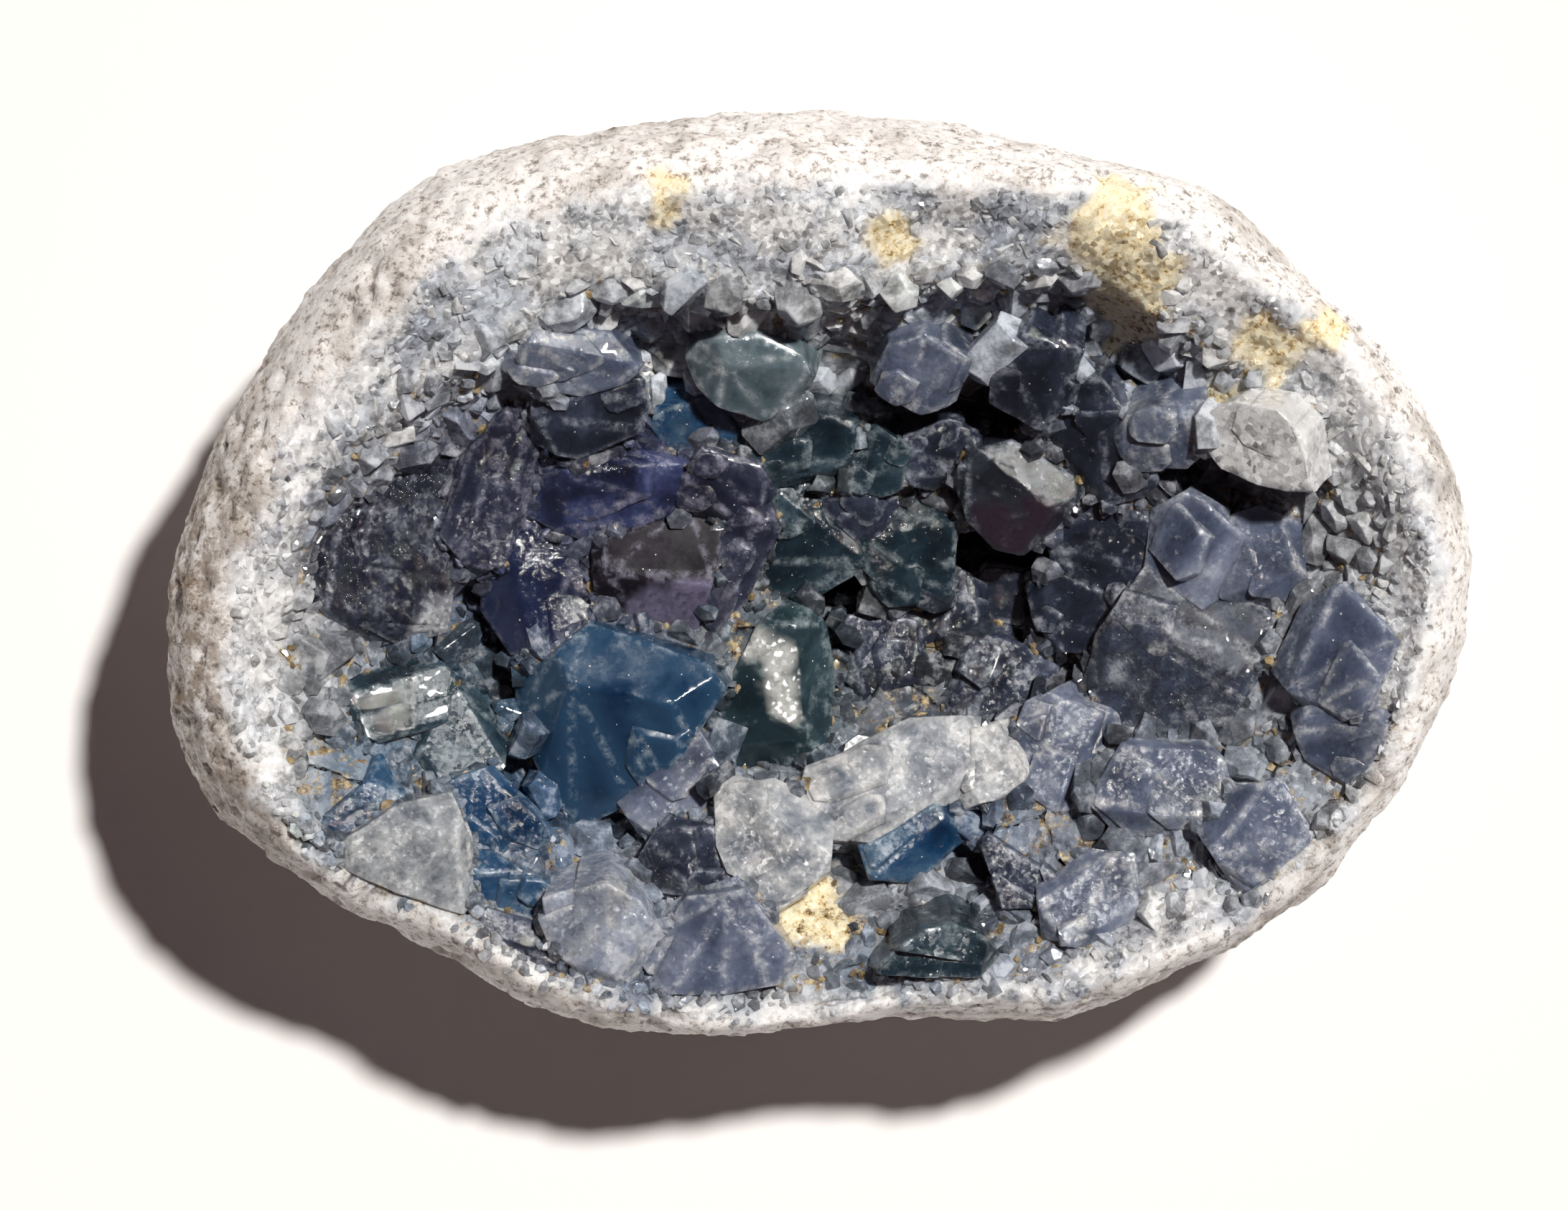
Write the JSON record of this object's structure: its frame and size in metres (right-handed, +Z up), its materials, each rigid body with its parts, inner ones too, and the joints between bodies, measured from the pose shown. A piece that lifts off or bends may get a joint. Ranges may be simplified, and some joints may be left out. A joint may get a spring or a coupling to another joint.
{
  "type": "geode half",
  "caption": "Broken half of a rounded geode: a pale granular stone shell, its hollow lined with blocky blue-grey celestine crystals, resting hollow side up.",
  "frame": {"origin": "under the middle of the nodule, on the surface that it rests on", "axes": "+X along the nodule's length, +Z up out of the hollow, +Y towards the higher side of the broken rim"},
  "size_m": [0.1104, 0.0782, 0.0422],
  "materials": {
    "rind": "matt granular limestone and sugary celestine, with cream, ochre and brown-grey specks",
    "deep_blue_celestine": "clear deep blue crystal faces, glassy",
    "slate_celestine": "smoky slate-blue crystal faces, glassy",
    "teal_celestine": "dark teal crystal faces, glassy",
    "violet_celestine": "violet-blue crystal faces, finely striated, glassy",
    "grey_celestine": "pale grey-blue crystal faces, part frosted",
    "pale_celestine": "milky lilac-white crystal, glassy with frosted edges",
    "frosted_celestine": "white frosted and sugary crystal"
  },
  "bodies": {
    "root": {"stone_shell": "rind", "giant_blue_wedge": "deep_blue_celestine", "frosted_block": "slate_celestine", "grey_block": "grey_celestine", "capped_column": "teal_celestine", "hanging_tablet": "grey_celestine", "violet_block": "violet_celestine", "purple_prism": "violet_celestine", "indigo_slab": "violet_celestine", "rose_prism": "slate_celestine", "silver_plate": "frosted_celestine", "clear_tablet": "grey_celestine", "white_column": "frosted_celestine", "lilac_block": "pale_celestine", "sugar_block": "frosted_celestine", "teal_oval": "teal_celestine", "blue_window": "deep_blue_celestine", "white_ridge": "frosted_celestine", "teal_curtain": "teal_celestine", "teal_apron": "teal_celestine", "teal_shelf": "deep_blue_celestine", "teal_knob": "teal_celestine", "grey_bead": "teal_celestine", "needle_bundle": "violet_celestine", "violet_knob": "violet_celestine", "dark_curtain": "slate_celestine", "north_slate": "slate_celestine", "seam_slab": "slate_celestine", "east_slate": "slate_celestine", "east_wedge": "slate_celestine", "drusy_knob": "grey_celestine", "drusy_bead": "grey_celestine", "pale_wedge": "grey_celestine", "clear_cluster": "grey_celestine", "dark_lath": "slate_celestine", "pale_blue_block": "grey_celestine", "beaded_block": "grey_celestine", "beaded_bank": "grey_celestine", "dark_wedge": "slate_celestine", "lilac_wedge": "grey_celestine", "dark_prism": "slate_celestine", "dark_tablet": "slate_celestine", "deep_floor": "slate_celestine", "white_knob": "frosted_celestine", "oval_window": "deep_blue_celestine", "grey_lath": "grey_celestine", "lilac_wall": "slate_celestine", "dark_foot": "slate_celestine", "grey_front": "grey_celestine", "dark_blue_front": "slate_celestine", "grey_lath_front": "grey_celestine", "lilac_crown": "grey_celestine", "green_crown": "slate_celestine", "dark_shelf": "slate_celestine", "pale_crown": "grey_celestine", "indigo_edge": "violet_celestine", "white_edged_lath": "deep_blue_celestine", "far_blue_block": "deep_blue_celestine", "teal_lath": "teal_celestine", "blue_chip": "teal_celestine"}
  },
  "joints": []
}
